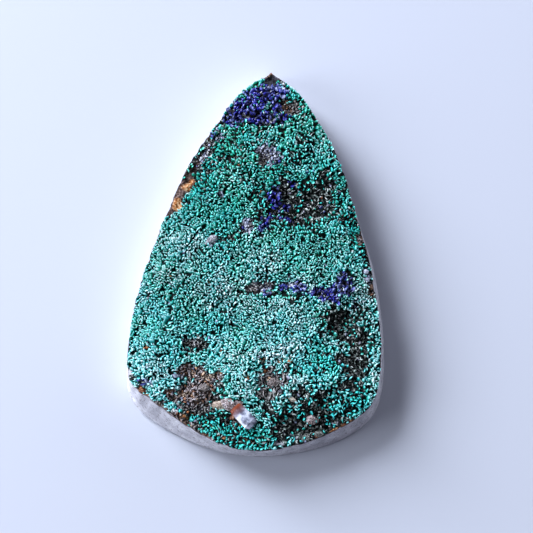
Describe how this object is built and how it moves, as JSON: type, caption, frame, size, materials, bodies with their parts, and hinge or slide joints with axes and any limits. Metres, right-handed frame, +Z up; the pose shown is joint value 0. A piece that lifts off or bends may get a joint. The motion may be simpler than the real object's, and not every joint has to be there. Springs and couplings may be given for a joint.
{
  "type": "azurite and malachite druse stone",
  "caption": "Pear-cut slice of pale rock with a flat sawn back and a natural crust of malachite and azurite crystals on top.",
  "frame": {"origin": "under the middle of the flat sawn back, at the centre of the outline's box", "axes": "+Y towards the tip, +Z up from the back to the crystal crust"},
  "size_m": [0.033, 0.0498, 0.0072],
  "materials": {
    "malachite_druse": "rough sparkling crust of small blue-green crystals",
    "azurite_crystals": "glassy deep blue crystals",
    "quartz_rock": "ground, satin, pale grey",
    "iron_oxide": "earthy, dark brown to black"
  },
  "bodies": {
    "root": {"stone": "malachite_druse"}
  },
  "joints": []
}
